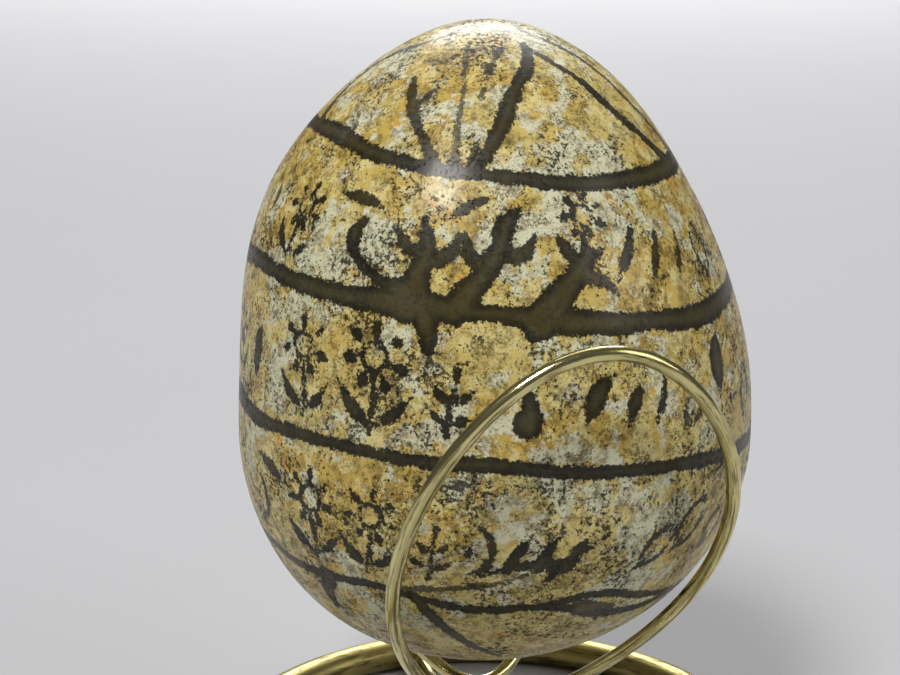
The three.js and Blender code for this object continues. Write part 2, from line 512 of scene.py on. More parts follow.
@dataclass(frozen=True)
class PolishedBrass:
    """Drawn brass wire, polished, lacquered and lightly tarnished."""

    name: str = "polished_brass"
    shine: float = 0.13
    haze: float = 0.34
    bright: Colour = srgb(220, 209, 148)
    dull: Colour = srgb(158, 142, 84)
    # painted dark reflection: the colour of the streaks that stand in for the dim room mirrored in the
    # brass
    reflection_streak: Colour = srgb(76, 66, 36)
    fleck: Colour = srgb(44, 35, 18)

    def build(self, effects: SharedEffects) -> bpy.types.Material:
        """Builds the material.

        Args:
            effects: The shared node groups.

        Returns:
            The finished material.
        """
        material, sheet, shader, place = new_material(self.name)
        tarnish = sheet.group(effects.tarnish, Place=place, Reach=0.3)
        flecks = sheet.group(effects.speck, Place=place, Scale=1500.0, Amount=0.25, Clusters=240.0)
        dulled = sheet.maths("MULTIPLY", tarnish.outputs["Cloud"], 0.8)
        colour = sheet.layer(self.bright, self.dull, dulled)
        # The dark streaks along the wire are a painted reflection of the dim room in the colour; in
        # roughness and relief they are die marks.
        reflection_and_die_streaks = self._reflection_and_die_streaks(sheet)
        colour = sheet.layer(colour, self.reflection_streak, sheet.maths("MULTIPLY", reflection_and_die_streaks, 0.75))
        colour = sheet.layer(colour, self.fleck, sheet.maths("MULTIPLY", flecks.outputs[0], 0.8))
        sheet.feed(shader.inputs["Base Color"], colour)
        dullness = sheet.maths("MAXIMUM", tarnish.outputs["Cloud"], flecks.outputs[0])
        dullness = sheet.maths("MAXIMUM", dullness, reflection_and_die_streaks)
        sheet.feed(shader.inputs["Roughness"], sheet.span(dullness, self.shine, self.haze))
        shader.inputs["Metallic"].default_value = 1.0
        add_bump(sheet, shader, sheet.maths("SUBTRACT", tarnish.outputs["Grain"], reflection_and_die_streaks), 0.004)
        return material

    @staticmethod
    def _reflection_and_die_streaks(sheet: NodeSheet) -> Socket:
        """Returns the mask of the streaks along the wire: a painted dark reflection in its colour, and die
        marks in its roughness and relief.
        """
        place = sheet.add("ShaderNodeCombineXYZ")
        parts = {"wire_across": 1.0, "wire_up": 1.0, "wire_along": STREAK_FINENESS}
        for target, (name, fineness) in zip(place.inputs, parts.items(), strict=True):
            part = sheet.add("ShaderNodeAttribute", attribute_name=name).outputs["Fac"]
            sheet.feed(target, sheet.maths("MULTIPLY", part, fineness))
        drawn = sheet.noise(place.outputs[0], 2.1, 4.0, 0.7)
        return sheet.step(drawn, 0.5, 0.62)


@dataclass(frozen=True)
class BrazedBead:
    """A bead of braze, darkened by heat and flux and rubbed bright on its bumps."""

    rubbed: Colour = srgb(190, 168, 98)
    scorched: Colour = srgb(96, 76, 40)
    flux: Colour = srgb(48, 40, 26)

    def build(self, effects: SharedEffects) -> bpy.types.Material:
        """Builds the material.

        Args:
            effects: The shared node groups.

        Returns:
            The finished material.
        """
        material, sheet, shader, place = new_material("brazed_bead")
        heat = sheet.group(effects.flake, Place=place, Scale=800.0, Cover=0.5)
        crust = sheet.group(effects.speck, Place=place, Scale=2600.0, Amount=0.4, Clusters=700.0)
        tarnish = sheet.group(effects.tarnish, Place=place, Reach=0.35)
        colour = sheet.layer(self.rubbed, self.scorched, sheet.maths("MULTIPLY", heat.outputs[0], 0.85))
        sheet.feed(shader.inputs["Base Color"], sheet.layer(colour, self.flux, crust.outputs[0]))
        sheet.feed(shader.inputs["Roughness"], sheet.span(crust.outputs[0], 0.3, 0.7))
        shader.inputs["Metallic"].default_value = 0.9
        relief = sheet.maths("ADD", crust.outputs[0], tarnish.outputs["Grain"])
        add_bump(sheet, shader, relief, 0.02)
        return material


@dataclass(frozen=True)
class PaperFloor:
    """Pale matt paper with a barely seen mottle."""

    pale: Colour = srgb(172, 172, 174)
    shade: Colour = srgb(168, 168, 170)

    def build(self) -> bpy.types.Material:
        """Builds and returns the material."""
        material, sheet, shader, place = new_material("paper_floor")
        mottle = sheet.noise(place, 9.0, 4.0, 0.6)
        sheet.feed(shader.inputs["Base Color"], sheet.layer(self.pale, self.shade, mottle))
        shader.inputs["Roughness"].default_value = 0.9
        add_bump(sheet, shader, sheet.noise(place, 900.0, 3.0, 0.6), 0.02)
        return material


# ---- Drawing on the shell --------------------------------------------------------------------


def ramp(value: np.ndarray, start: float, end: float) -> np.ndarray:
    """Returns 0 up to start and 1 past end, with a soft rise between them."""
    share = np.clip((value - start) / (end - start), 0, 1)
    return share * share * (3 - 2 * share)


@dataclass(frozen=True)
class EggForm:
    """The egg's form: a level runs from -1, the blunt end below, to 1, the pointed end above."""

    belly_radius: float = 24.2
    belly_height: float = 37.8
    belly_to_tip: float = 38.0
    belly_to_base: float = 21.7
    tip_fullness: float = 0.07
    tip_taper: float = 0.16
    base_fullness: float = 0.087
    belly_drift: float = 0.2
    shoulder_drift: float = 1.5
    tip_return: float = 0.7
    base_drift: float = 1.62

    def swell(self, level: np.ndarray) -> np.ndarray:
        """Returns how much wider than a plain ellipse the egg is at each level."""
        upper = 1 + self.tip_fullness * level**2 - self.tip_taper * level**4
        return np.where(level > 0, upper, 1 + self.base_fullness * level**4)

    def drift(self, level: np.ndarray) -> np.ndarray:
        """Returns how far the middle line is from the axis at each level, in millimetres."""
        shoulder = self.shoulder_drift * ramp(level, 0.1, 0.65)
        tip = self.tip_return * ramp(level, 0.65, 1)
        return self.belly_drift + np.where(level < 0, -self.base_drift * level**2, tip - shoulder)

    def height(self, level: np.ndarray, inset: float = 0.0) -> np.ndarray:
        """Returns the height of each level above the table, in millimetres."""
        above = level * (self.belly_to_tip - inset)
        return self.belly_height + np.where(level > 0, above, level * (self.belly_to_base - inset))

    def level_at(self, height: np.ndarray) -> np.ndarray:
        """Returns the level of each height above the table."""
        rise = np.asarray(height, float) - self.belly_height
        reach = np.where(rise > 0, self.belly_to_tip, self.belly_to_base)
        return np.clip(rise / reach, -1, 1)

    def from_ball(self, ball: np.ndarray, inset: float = 0.0) -> np.ndarray:
        """Shapes points of a unit ball into the egg.

        Args:
            ball: Points on the unit ball, one a row.
            inset: How far the form is inside the egg's skin, in millimetres.

        Returns:
            The points on the egg, in millimetres.
        """
        level = ball[:, 2]
        reach = (self.belly_radius - inset) * self.swell(level)
        across = ball[:, 0] * reach + self.drift(level)
        return np.stack([across, ball[:, 1] * reach, self.height(level, inset)], axis=1)

    def at(self, azimuth: np.ndarray, height: np.ndarray) -> np.ndarray:
        """Returns the points of the skin at azimuths in degrees and heights in millimetres."""
        level = self.level_at(height)
        turn = np.radians(azimuth)
        ring = np.sqrt(1 - level**2)
        return self.from_ball(np.stack([ring * np.sin(turn), -ring * np.cos(turn), level], axis=1))

    def around(self, azimuth: float, height: float, flat: np.ndarray) -> np.ndarray:
        """Wraps a flat drawing onto the skin.

        Args:
            azimuth: The azimuth of the drawing's middle, in degrees.
            height: The height of its middle, in millimetres.
            flat: The drawing's points as rightwards and upwards millimetres.

        Returns:
            The points on the skin, in millimetres.
        """
        levels = np.sin(np.linspace(-math.pi / 2, math.pi / 2, 721))
        reach = self.belly_radius * np.sqrt(1 - levels**2) * self.swell(levels)
        steps = np.hypot(np.diff(reach), np.diff(self.height(levels)))
        climb = np.concatenate([[0], np.cumsum(steps)])
        middle = np.interp(self.level_at(height), levels, climb)
        level = np.interp(middle + flat[:, 1], climb, levels)
        girth = np.interp(level, levels, reach)
        turn = azimuth + np.degrees(flat[:, 0] / np.maximum(girth, 1.0))
        return self.at(turn, self.height(level))


def bend(points: list[tuple[float, float]], steps: int = 8) -> np.ndarray:
    """Returns a smooth open line through a few flat points."""
    return flow(np.array(points, float), steps=steps)


def taper(count: int, start: float, middle: float, end: float) -> np.ndarray:
    """Returns line widths that run from start through middle to end."""
    share = np.linspace(0, 1, count)
    lower = start + (middle - start) * ramp(share, 0, 0.5)
    return lower + (end - middle) * ramp(share, 0.5, 1)


Marks = list[tuple[np.ndarray, np.ndarray]]


def draw_flower() -> Marks:
    """Draws an open flower with seven petals, on a short stem with a leaf to either side."""
    around = np.radians(np.linspace(0, 360, 25))
    ring = np.stack([0.13 * np.cos(around), 0.2 + 0.13 * np.sin(around)], axis=1)
    stem = bend([(0.0, 0.04), (0.02, -0.2), (-0.01, -0.5)])
    marks = [(ring, np.full(len(ring), 0.42)), (stem, taper(len(stem), 0.45, 0.55, 0.3))]
    for number in range(7):
        angle = math.radians(90 + number * 360 / 7)
        out = np.array([math.cos(angle), math.sin(angle)])
        petal = np.array([(0.0, 0.2)]) + np.array([[0.18], [0.26], [0.33]]) * out
        marks.append((petal, np.array([0.35, 0.75, 0.2])))
    for side, weight in ((-1, 1.15), (1, 0.85)):
        leaf = bend([(0.0, -0.44), (side * 0.2, -0.3), (side * 0.38, -0.08)])
        marks.append((leaf, taper(len(leaf), 0.3, weight, 0.1)))
    return marks


def draw_drop() -> Marks:
    """Draws a filled drop, round below and sharp above."""
    line = bend([(-0.12, 0.5), (0.0, 0.2), (0.06, -0.1), (0.02, -0.3)])
    return [(line, taper(len(line), 0.1, 0.6, 1.1))]


def draw_moon() -> Marks:
    """Draws a thin moon that opens to the left, with a seed inside it."""
    line = bend([(-0.2, 0.5), (0.12, 0.32), (0.22, 0.0), (0.1, -0.32), (-0.22, -0.5)])
    seed = bend([(-0.12, 0.06), (-0.14, -0.06)])
    return [(line, taper(len(line), 0.2, 1.0, 0.2)), (seed, taper(len(seed), 0.55, 0.6, 0.5))]


def draw_leaf() -> Marks:
    """Draws a filled leaf with two sharp ends."""
    line = bend([(0.06, 0.5), (-0.03, 0.2), (0.0, -0.2), (0.04, -0.5)])
    return [(line, taper(len(line), 0.1, 1.0, 0.1))]


def draw_open_leaf() -> Marks:
    """Draws the outline of a leaf, with a vein up its middle."""
    left = bend([(0.0, 0.5), (-0.2, 0.2), (-0.2, -0.15), (0.0, -0.5)])
    right = bend([(0.0, 0.5), (0.17, 0.2), (0.19, -0.15), (0.0, -0.5)])
    vein = bend([(0.0, -0.5), (-0.01, -0.1), (0.01, 0.15)])
    return [
        (left, taper(len(left), 0.5, 0.9, 0.6)),
        (right, taper(len(right), 0.5, 0.8, 0.6)),
        (vein, taper(len(vein), 0.6, 0.4, 0.1)),
    ]


def draw_tick() -> Marks:
    """Draws a short stroke that thins downwards."""
    line = bend([(0.0, 0.5), (0.02, 0.0), (-0.02, -0.5)])
    return [(line, taper(len(line), 0.55, 1.0, 0.25))]


def draw_seedling() -> Marks:
    """Draws a stem with two pairs of spread leaves and a bud at its top."""
    stem = bend([(-0.03, -0.5), (0.0, -0.1), (0.03, 0.24)])
    bud = bend([(0.03, 0.22), (0.05, 0.36), (0.04, 0.5)])
    marks = [(stem, taper(len(stem), 0.7, 0.5, 0.5)), (bud, taper(len(bud), 0.5, 1.1, 0.1))]
    for foot, reach in ((-0.34, 0.38), (-0.06, 0.3)):
        for side in (-1, 1):
            leaf = bend([(0.0, foot), (side * 0.5 * reach, foot + 0.07), (side * reach, foot + 0.24)])
            marks.append((leaf, taper(len(leaf), 0.4, 0.9, 0.1)))
    return marks


def draw_sprig() -> Marks:
    """Draws a lying stem with leaves on its upper side."""
    stem = bend([(-0.5, -0.16), (-0.2, -0.06), (0.15, -0.02), (0.5, 0.2)])
    marks = [(stem, taper(len(stem), 0.3, 1.0, 0.25))]
    for foot, lean in ((-0.28, 0.14), (-0.05, 0.12), (0.17, 0.17)):
        leaf = bend([(foot, -0.08), (foot + 0.4 * lean, 0.06), (foot + lean, 0.2)])
        marks.append((leaf, taper(len(leaf), 1.0, 0.9, 0.15)))
    fall = bend([(0.1, -0.03), (0.08, -0.14), (0.0, -0.24)])
    marks.append((fall, taper(len(fall), 0.9, 0.7, 0.15)))
    return marks


class Motif(Enum):
    """The plain folk motifs that the rows are made of."""

    FLOWER = "flower"
    DROP = "drop"
    MOON = "moon"
    LEAF = "leaf"
    OPEN_LEAF = "open_leaf"
    TICK = "tick"
    SEEDLING = "seedling"
    SPRIG = "sprig"


DRAWINGS: dict[Motif, Callable[[], Marks]] = {
    Motif.FLOWER: draw_flower,
    Motif.DROP: draw_drop,
    Motif.MOON: draw_moon,
    Motif.LEAF: draw_leaf,
    Motif.OPEN_LEAF: draw_open_leaf,
    Motif.TICK: draw_tick,
    Motif.SEEDLING: draw_seedling,
    Motif.SPRIG: draw_sprig,
}


@dataclass(frozen=True)
class Mark:
    """One motif on the shell."""

    motif: Motif
    azimuth: float
    height: float
    size: float
    weight: float = 0.45
    turn: float = 0.0
    strength: float = 1.0


@dataclass
class InkDrawing:
    """All the ink on the shell, gathered as strokes and then soaked into its vertices."""

    form: EggForm
    reach: float = 2.4
    spread: float = 1.25
    run: int = 5
    strokes: list[tuple[np.ndarray, np.ndarray, float]] = field(default_factory=list)

    def band(self, knots: list[tuple[float, float, float]]) -> None:
        """Draws a closed band.

        Args:
            knots: Azimuth in degrees, height and half width in millimetres, once round the egg.
        """
        line = np.array(knots, float)
        ahead = line[:1] + (360, 0, 0)
        behind = line[-1:] - (360, 0, 0)
        line = flow(np.vstack([behind, line, ahead]), steps=12)
        self.strokes.append((self.form.at(line[:, 0], line[:, 1]), line[:, 2] * self.spread, 1.0))

    def line(self, knots: list[tuple[float, float, float]], strength: float = 1.0) -> None:
        """Draws an open line through knots like a band's."""
        line = flow(np.array(knots, float), steps=10)
        self.strokes.append((self.form.at(line[:, 0], line[:, 1]), line[:, 2] * self.spread, strength))

    def mark(self, mark: Mark) -> None:
        """Draws one motif, turned clockwise about its middle."""
        turn = math.radians(mark.turn)
        spin = np.array([[math.cos(turn), -math.sin(turn)], [math.sin(turn), math.cos(turn)]])
        for line, widths in DRAWINGS[mark.motif]():
            flat = (line * mark.size) @ spin
            path = self.form.around(mark.azimuth, mark.height, flat)
            self.strokes.append((path, widths * mark.weight, mark.strength))

    def soak(self, skin: np.ndarray) -> tuple[np.ndarray, np.ndarray]:
        """Measures the drawing at each vertex.

        Args:
            skin: The shell's vertices, in millimetres.

        Returns:
            The distance from the nearest stroke's edge, below zero inside it, and its strength.
        """
        distance = np.full(len(skin), self.reach)
        strength = np.ones(len(skin))
        for path, widths, stroke_strength in self.strokes:
            for first in range(0, len(path) - 1, self.run):
                piece = path[first : first + self.run + 1]
                above = skin > piece.min(axis=0) - self.reach
                below = skin < piece.max(axis=0) + self.reach
                near = np.flatnonzero((above & below).all(axis=1))
                found = self._measure(skin[near], piece, widths[first : first + self.run + 1])
                closer = found < distance[near]
                distance[near[closer]] = found[closer]
                strength[near[closer]] = stroke_strength
        return distance, strength

    @staticmethod
    def _measure(skin: np.ndarray, path: np.ndarray, widths: np.ndarray) -> np.ndarray:
        """Returns each point's distance from a short tapered line's edge, in millimetres."""
        start = path[:-1]
        step = path[1:] - start
        away = skin[:, None, :] - start[None, :, :]
        length = np.maximum((step**2).sum(axis=1), 1e-9)
        share = np.clip((away * step).sum(axis=2) / length, 0, 1)
        gap = np.linalg.norm(away - share[..., None] * step, axis=2)
        half = widths[:-1] + share * np.diff(widths)
        return (gap - half).min(axis=1)


# ---- The egg ---------------------------------------------------------------------------------


@dataclass
class PaintedEgg:
    """The blown egg, with its drawing, its blow hole and its lining."""

    form: EggForm = field(default_factory=EggForm)
    wall: float = 0.5
    hole_radius: float = 1.5
    skin_cuts: tuple[int, int] = (24, 4)
    lining_cuts: int = 27
    unevenness: float = 0.09

    def build(self, effects: SharedEffects) -> bpy.types.Object:
        """Models, draws on and dresses the egg.

        Args:
            effects: The shared node groups.

        Returns:
            The finished piece, riding on the egg's body.
        """
        skin = self._ball("egg_skin", self.skin_cuts, 0.0)
        self._roughen(skin)
        self._pierce(skin)
        lining = self._ball("egg_lining", (self.lining_cuts,), self.wall)
        self._pierce(lining)
        with edit_mode(lining):
            bpy.ops.mesh.select_all(action="SELECT")
            bpy.ops.mesh.flip_normals()
        shell = self._join(skin, lining)
        distance, strength = self._drawing().soak(read_points(shell.data) / MM)
        write_attribute(shell.data, "ink_distance", distance)
        write_attribute(shell.data, "ink_strength", strength)
        smooth(shell)
        shell.data.materials.append(PaintedShell().build(effects))
        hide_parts("eggshell")
        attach(shell, "egg")
        return shell

    def _ball(self, name: str, cuts: tuple[int, ...], inset: float) -> bpy.types.Object:
        """Models a closed egg form from a cube of even squares.

        Args:
            name: The object's name.
            cuts: The cuts of each round of subdivision.
            inset: How far it is inside the egg's skin, in millimetres.

        Returns:
            The new object.
        """
        bpy.ops.object.select_all(action="DESELECT")
        bpy.ops.mesh.primitive_cube_add(size=2)
        ball = bpy.context.object
        ball.name = name
        with edit_mode(ball):
            for number in cuts:
                bpy.ops.mesh.select_all(action="SELECT")
                bpy.ops.mesh.subdivide(number_cuts=number)
        spread = np.tan(read_points(ball.data) * math.pi / 4)
        spread /= np.linalg.norm(spread, axis=1)[:, None]
        write_points(ball.data, self.form.from_ball(spread, inset) * MM)
        return ball

    def _roughen(self, skin: bpy.types.Object) -> None:
        """Presses broad, shallow hollows into the skin, as a real egg has."""
        texture = bpy.data.textures.new("shell_hollows", "CLOUDS")
        texture.noise_scale = 9 * MM
        texture.noise_depth = 1
        hollows = skin.modifiers.new("hollows", "DISPLACE")
        hollows.texture = texture
        hollows.texture_coords = "LOCAL"
        hollows.mid_level = 1.0
        hollows.strength = self.unevenness * MM
        apply_modifiers(skin)

    def _pierce(self, shell: bpy.types.Object) -> None:
        """Opens the round blow hole in the blunt end of a form."""
        middle = Vector(((self.form.belly_drift - self.form.base_drift) * MM, 0.0))
        floor = (self.form.belly_height - self.form.belly_to_base + 3) * MM
        with edit_mode(shell):
            bpy.ops.mesh.select_all(action="DESELECT")
            bpy.ops.mesh.select_mode(type="FACE")
            bpy.ops.object.mode_set(mode="OBJECT")
            for face in shell.data.polygons:
                away = (face.center.xy - middle).length
                face.select = face.center.z < floor and away < 1.15 * self.hole_radius * MM
            bpy.ops.object.mode_set(mode="EDIT")
            bpy.ops.mesh.delete(type="FACE")
        edges = {}
        for face in shell.data.polygons:
            if face.center.z < floor:
                for key in face.edge_keys:
                    edges[key] = edges.get(key, 0) + 1
        for key in [key for key, count in edges.items() if count == 1]:
            for index in key:
                point = shell.data.vertices[index]
                away = point.co.xy - middle
                if away.length < 2.5 * self.hole_radius * MM:
                    point.co.xy = middle + away.normalized() * self.hole_radius * MM

    def _join(self, skin: bpy.types.Object, lining: bpy.types.Object) -> bpy.types.Object:
        """Joins the skin to the lining round the blow hole.

        Args:
            skin: The outer form.
            lining: The inner form, facing inwards.

        Returns:
            The closed shell.
        """
        take_up(skin)
        lining.select_set(True)
        bpy.ops.object.join()
        with edit_mode(skin):
            bpy.ops.mesh.select_all(action="DESELECT")
            bpy.ops.mesh.select_mode(type="EDGE")
            bpy.ops.mesh.select_non_manifold(
                extend=False,
                use_wire=False,
                use_multi_face=False,
                use_non_contiguous=False,
                use_verts=False,
            )
            bpy.ops.mesh.bridge_edge_loops()
        skin.name = "painted_egg"
        return skin

    def _drawing(self) -> InkDrawing:
        """Lays out the whole drawing, from the tip down.

        Returns:
            The drawing, ready to be soaked in.
        """
        ink = InkDrawing(self.form)
        self._draw_bands(ink)
        self._draw_star(ink)
        self._draw_front_rows(ink)
        self._draw_back_rows(ink)
        self._draw_foot(ink)
        return ink

    @staticmethod
    def _draw_bands(ink: InkDrawing) -> None:
        """Draws the four bands, which dip a little towards the right of the front."""
        ink.band(
            [
                (-150, 65.6, 0.5), (-115, 66.2, 0.5), (-80, 66.9, 0.55), (-55, 66.9, 0.75),
                (-32, 65.8, 0.6), (-12, 65.0, 0.5), (10, 64.4, 0.55), (28, 63.7, 0.6),
                (48, 63.5, 0.7), (75, 63.6, 0.8), (110, 64.2, 0.5), (150, 65.0, 0.5),
            ]
        )
        ink.band(
            [
                (-150, 54.3, 0.6), (-115, 54.8, 0.6), (-85, 55.1, 0.7), (-66, 55.5, 0.65),
                (-46, 55.0, 0.7), (-30, 54.7, 0.8), (-18, 54.7, 1.05), (-8, 54.4, 0.9),
                (3, 54.1, 0.6), (14, 53.5, 0.95), (25, 52.9, 0.85), (40, 52.4, 0.7),
                (55, 51.9, 0.9), (79, 52.5, 0.7), (115, 53.2, 0.6), (150, 54.0, 0.55),
            ]
        )
        ink.band(
            [
                (-150, 41.3, 0.5), (-115, 42.0, 0.5), (-76, 42.4, 0.8), (-62, 41.9, 0.65),
                (-44, 42.2, 0.5), (-30, 42.2, 0.45), (-15, 41.8, 0.5), (0, 41.8, 0.55),
                (14, 41.0, 0.5), (30, 40.4, 0.5), (48, 39.7, 0.55), (63, 39.0, 0.65),
                (82, 38.9, 0.55), (115, 39.5, 0.5), (150, 40.5, 0.45),
            ]
        )
        ink.band(
            [
                (-145, 28.6, 0.4), (-105, 29.4, 0.45), (-66, 29.6, 0.5), (-52, 29.0, 0.45),
                (-38, 29.1, 0.45), (-26, 29.4, 0.35), (-14, 28.6, 0.4), (-2, 27.9, 0.45),
                (8, 28.1, 0.4), (17, 27.8, 0.5), (28, 26.2, 0.5), (42, 25.6, 0.45),
                (56, 25.7, 0.45), (90, 26.2, 0.4), (135, 27.6, 0.4),
            ]
        )

    @staticmethod
    def _draw_star(ink: InkDrawing) -> None:
        """Draws the lines that run from the top band to the tip."""
        ink.line([(0, 65.2, 0.4), (7, 68.4, 0.6), (13, 70.9, 0.55), (24, 72.8, 0.5), (29, 74.2, 0.3)])
        slope = [(28, 74.2, 0.2), (47, 71.6, 0.35), (55, 68.8, 0.42), (66, 65.6, 0.45)]
        ink.line([*slope, (72, 63.8, 0.7)])
        ink.line([(-12, 65.2, 0.45), (-20, 67.6, 0.4), (-28, 69.6, 0.5), (-35, 71.6, 0.25)], 0.9)
        ink.line([(-28, 69.4, 0.35), (-24, 70.2, 0.28), (-20, 71.0, 0.18)], 0.85)
        ink.line([(-7, 65.6, 0.35), (-8, 68.0, 0.24), (-9, 71.0, 0.2), (-14, 74.1, 0.2)], 0.6)
        ink.line([(9, 73.9, 0.3), (6, 73.3, 0.28)], 0.85)
        ink.line([(3, 72.8, 0.28), (1, 72.2, 0.26)], 0.85)
        ink.line([(0, 71.0, 0.26), (-1, 70.4, 0.26)], 0.7)
        ink.line([(-2, 65.6, 0.35), (-1, 66.9, 0.25)], 0.85)
        ink.line([(-70, 66.7, 0.4), (-79, 69.7, 0.3), (-76, 72.6, 0.25), (-40, 74.9, 0.2)], 0.8)
        ink.line([(-96, 66.8, 0.35), (-108, 70.2, 0.3), (-112, 73.6, 0.25)], 0.8)
        ink.line([(84, 63.8, 0.4), (74, 68.5, 0.3), (66, 72.8, 0.25), (45, 75.2, 0.2)], 0.75)
        ink.line([(96, 64.2, 0.35), (92, 69.0, 0.25), (88, 73.4, 0.2)], 0.75)
        back = ((118, 0.45), (142, 0.28), (166, 0.5), (190, 0.3), (214, 0.42), (236, 0.25))
        for azimuth, weight in back:
            lean = 7 if weight > 0.4 else -5
            foot = 65.1 + 0.6 * math.cos(math.radians(azimuth - 230))
            knots = [(azimuth, foot, weight), (azimuth + lean, 70.2, 0.8 * weight)]
            ink.line([*knots, (azimuth + 1.5 * lean, 74.2, 0.5 * weight)], 0.85)

    @staticmethod
    def _draw_front_rows(ink: InkDrawing) -> None:
        """Draws the three rows of motifs across the front."""
        upper = [
            Mark(Motif.MOON, -70, 61.0, 4.0, 0.3, -10, 0.75),
            Mark(Motif.FLOWER, -51, 59.8, 7.4, 0.48, 14, 1.0),
            Mark(Motif.LEAF, -31, 62.3, 5.6, 0.62, 104, 0.95),
            Mark(Motif.LEAF, -2, 62.2, 4.8, 0.42, 64, 0.95),
            Mark(Motif.LEAF, 7, 60.8, 4.6, 0.85, 40, 1.0),
            Mark(Motif.TICK, 36, 57.8, 5.2, 0.6, 34, 1.0),
            Mark(Motif.TICK, 45, 57.4, 4.4, 0.5, 26, 0.95),
            Mark(Motif.TICK, 53.5, 57.0, 4.0, 0.42, 20, 0.9),
            Mark(Motif.OPEN_LEAF, 65, 56.8, 5.2, 0.3, 6, 0.9),
        ]
        middle = [
            Mark(Motif.LEAF, -61, 48.0, 6.6, 0.8, 14, 0.95),
            Mark(Motif.FLOWER, -43, 48.2, 8.6, 0.58, 0, 1.0),
            Mark(Motif.FLOWER, -24.5, 48.3, 9.4, 0.7, 6, 1.0),
            Mark(Motif.SEEDLING, -8, 47.2, 6.2, 0.46, 8, 1.0),
            Mark(Motif.DROP, 7, 46.6, 4.8, 1.15, 6, 1.0),
            Mark(Motif.LEAF, 22, 47.0, 5.0, 1.0, 38, 1.0),
            Mark(Motif.LEAF, 30.5, 46.2, 4.2, 0.72, 32, 1.0),
            Mark(Motif.TICK, 37, 46.0, 4.2, 0.44, 20, 1.0),
            Mark(Motif.OPEN_LEAF, 46, 44.6, 4.4, 0.3, 40, 0.9),
            Mark(Motif.LEAF, 57, 47.6, 5.8, 1.2, 10, 1.0),
            Mark(Motif.OPEN_LEAF, 70, 43.8, 5.0, 0.34, 22, 0.9),
        ]
        lower = [
            Mark(Motif.LEAF, -55, 38.2, 5.2, 0.62, 112, 0.95),
            Mark(Motif.MOON, -60, 34.6, 5.4, 0.46, 4, 0.9),
            Mark(Motif.FLOWER, -41, 35.0, 8.8, 0.58, 2, 1.0),
            Mark(Motif.FLOWER, -26, 34.8, 8.2, 0.58, 8, 1.0),
            Mark(Motif.SEEDLING, -12.5, 34.0, 5.8, 0.42, 4, 0.95),
            Mark(Motif.MOON, -3, 34.0, 5.4, 0.46, 10, 0.95),
            Mark(Motif.SPRIG, 11, 33.2, 11.0, 0.66, 2, 1.0),
            Mark(Motif.OPEN_LEAF, 37, 32.8, 5.4, 0.36, 46, 0.95),
            Mark(Motif.OPEN_LEAF, 46, 34.0, 5.6, 0.34, 36, 0.95),
            Mark(Motif.OPEN_LEAF, 56, 32.4, 5.0, 0.32, 34, 0.9),
        ]
        for mark in (*upper, *middle, *lower):
            ink.mark(mark)
        ink.line([(-16, 54.8, 1.5), (-14, 56.8, 0.95), (-12, 59.2, 0.65), (-13, 61.2, 0.3)])
        tendril = [(-16, 55.4, 1.1), (-23, 56.3, 0.4), (-30, 58.0, 0.42), (-31, 59.8, 0.6)]
        ink.line([*tendril, (-28, 61.0, 0.1)])
        ink.line([(-13, 57.6, 0.4), (-7, 58.6, 0.55), (-4, 60.2, 0.15)], 0.95)
        ink.line([(-13, 58.4, 0.4), (-18, 59.4, 0.5), (-20, 61.0, 0.12)], 0.95)
        ink.line([(-13, 54.6, 1.2), (-12, 52.4, 0.7), (-12.5, 50.9, 0.35)])
        ink.line([(-6, 54.4, 1.1), (0, 56.8, 0.9), (5, 59.2, 0.7), (7, 60.6, 0.6)])
        ink.line([(4, 58.4, 0.4), (10, 58.6, 0.6), (14, 60.0, 0.15)], 0.95)
        ink.line([(2, 57.4, 0.4), (-2, 58.6, 0.55), (-3, 60.2, 0.12)], 0.95)
        ink.line([(12, 53.4, 1.4), (19, 55.8, 1.0), (26, 58.2, 0.7)])
        ink.line([(22, 57.0, 0.5), (28, 56.2, 0.5), (31, 55.0, 0.12)], 0.9)
        ink.mark(Mark(Motif.FLOWER, 26, 60.2, 6.6, 0.5, 14, 1.0))

    @staticmethod
    def _draw_back_rows(ink: InkDrawing) -> None:
        """Carries the three rows of motifs on round the back."""
        upper = (Motif.TICK, Motif.TICK, Motif.FLOWER, Motif.LEAF, Motif.MOON, Motif.SEEDLING)
        middle = (Motif.FLOWER, Motif.LEAF, Motif.SEEDLING, Motif.DROP, Motif.FLOWER, Motif.OPEN_LEAF)
        lower = (Motif.MOON, Motif.FLOWER, Motif.OPEN_LEAF, Motif.SEEDLING, Motif.LEAF, Motif.TICK)
        first, pitch = 84, 16.5
        for index in range(13):
            azimuth = first + pitch * index
            lift = 1.2 * math.cos(math.radians(azimuth - 250))
            sway = 9 * math.cos(2.3 * index)
            size = 5.6 + 0.5 * math.cos(1.7 * index)
            weight = 0.54 + 0.1 * math.cos(2.9 * index)
            if index < 12:
                ink.mark(Mark(upper[index % 6], azimuth, 59.2 + lift, 0.85 * size, 0.9 * weight, 14 + sway))
            ink.mark(Mark(middle[index % 6], azimuth + 4, 46.9 + lift, 1.15 * size, weight, sway, 0.95))
            ink.mark(Mark(lower[index % 6], azimuth - 6, 33.6 + lift, 1.1 * size, weight, -sway, 0.95))

